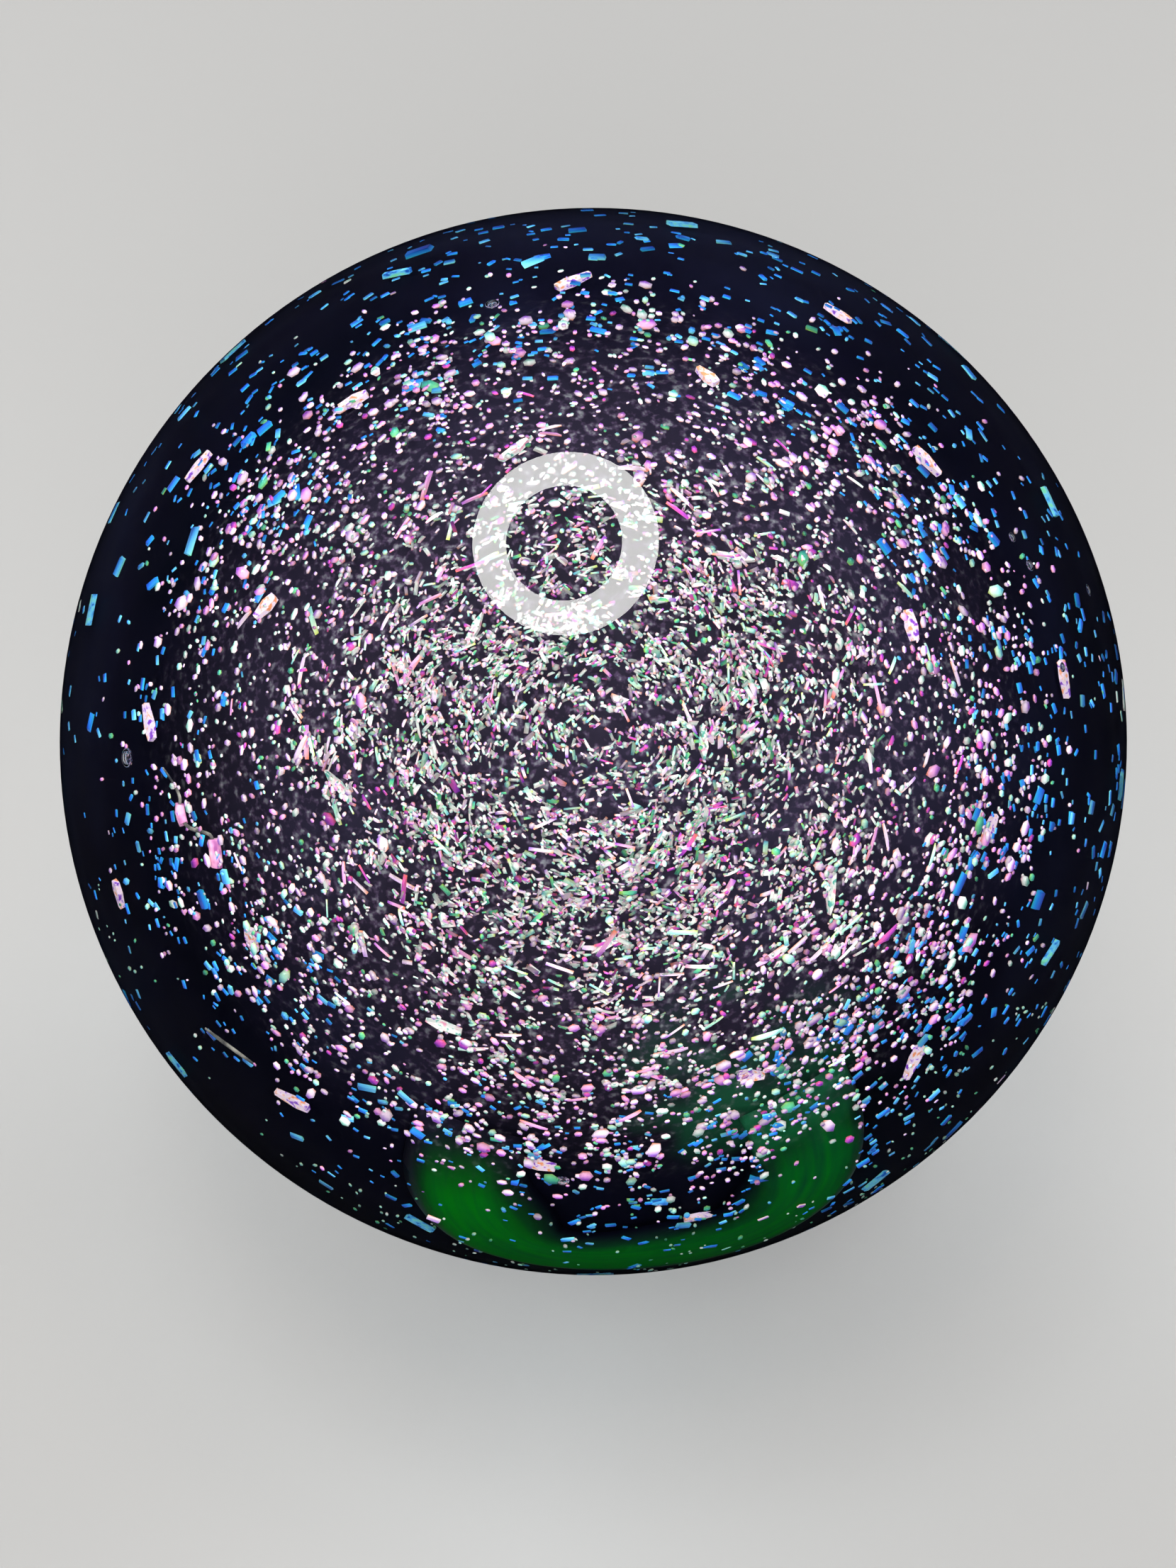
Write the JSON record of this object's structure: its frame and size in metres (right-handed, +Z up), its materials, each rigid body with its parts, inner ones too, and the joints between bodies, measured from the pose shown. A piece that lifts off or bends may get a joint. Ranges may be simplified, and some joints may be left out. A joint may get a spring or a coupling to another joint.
{
  "type": "art glass ball",
  "caption": "Solid ball of clear glass over a near-black core whose surface carries swirling dichroic glass chips, with a green film low on its face.",
  "frame": {"origin": "centre of the ball", "axes": "+Z up from the lowest point, where the ball touches the table; the ball's face, the middle of the swirl, looks up and forward, half way between +Z and -Y; +X to the right of someone facing it"},
  "size_m": [0.0572, 0.0572, 0.0572],
  "materials": {
    "clear_glass": "clear fire-polished glass, very glossy",
    "seal_glass": "clear glass with a fire-polished dish",
    "core_glass": "opaque near-black violet glass",
    "green_film": "transparent green film on glass",
    "thread_glass": "clear drawn glass thread",
    "white_dichroic": "mirror-bright dichroic coat, silver white to mint",
    "pink_dichroic": "mirror-bright dichroic coat, pink to magenta",
    "blue_dichroic": "mirror-bright dichroic coat, blue to cyan"
  },
  "bodies": {
    "root": {"blue_plate_01": "blue_dichroic", "blue_plate_02": "blue_dichroic", "blue_plate_03": "blue_dichroic", "blue_plate_04": "blue_dichroic", "blue_plate_05": "blue_dichroic", "blue_plate_06": "blue_dichroic", "blue_plate_07": "blue_dichroic", "blue_plate_08": "blue_dichroic", "blue_plate_09": "blue_dichroic", "blue_plate_10": "blue_dichroic", "blue_plate_11": "blue_dichroic", "blue_plate_12": "blue_dichroic", "blue_plate_13": "blue_dichroic", "blue_plate_14": "blue_dichroic", "blue_plate_15": "blue_dichroic", "blue_plate_16": "blue_dichroic", "blue_plate_17": "blue_dichroic", "blue_plate_18": "blue_dichroic", "blue_plate_19": "blue_dichroic", "blue_plate_20": "blue_dichroic", "blue_plate_21": "blue_dichroic", "blue_plate_22": "blue_dichroic", "blue_plate_23": "blue_dichroic", "blue_plate_24": "blue_dichroic", "clear_casing": "clear_glass", "curled_thread": "thread_glass", "dark_core": "core_glass", "green_veil": "green_film", "pink_chip_01": "pink_dichroic", "pink_chip_02": "pink_dichroic", "pink_chip_03": "pink_dichroic", "pink_chip_04": "pink_dichroic", "pink_chip_05": "pink_dichroic", "pink_chip_06": "pink_dichroic", "pink_chip_07": "pink_dichroic", "pink_chip_08": "pink_dichroic", "pink_chip_09": "pink_dichroic", "pink_chip_10": "pink_dichroic", "pink_chip_11": "pink_dichroic", "pink_chip_12": "pink_dichroic", "pink_chip_13": "pink_dichroic", "pink_chip_14": "pink_dichroic", "pink_chip_15": "pink_dichroic", "pink_chip_16": "pink_dichroic", "pink_chip_17": "pink_dichroic", "pink_chip_18": "pink_dichroic", "pontil_seal": "seal_glass", "short_thread": "thread_glass", "white_chip_01": "white_dichroic", "white_chip_02": "white_dichroic", "white_chip_03": "white_dichroic", "white_chip_04": "white_dichroic", "white_chip_05": "white_dichroic", "white_chip_06": "white_dichroic", "white_chip_07": "white_dichroic", "white_chip_08": "white_dichroic"}
  },
  "joints": []
}
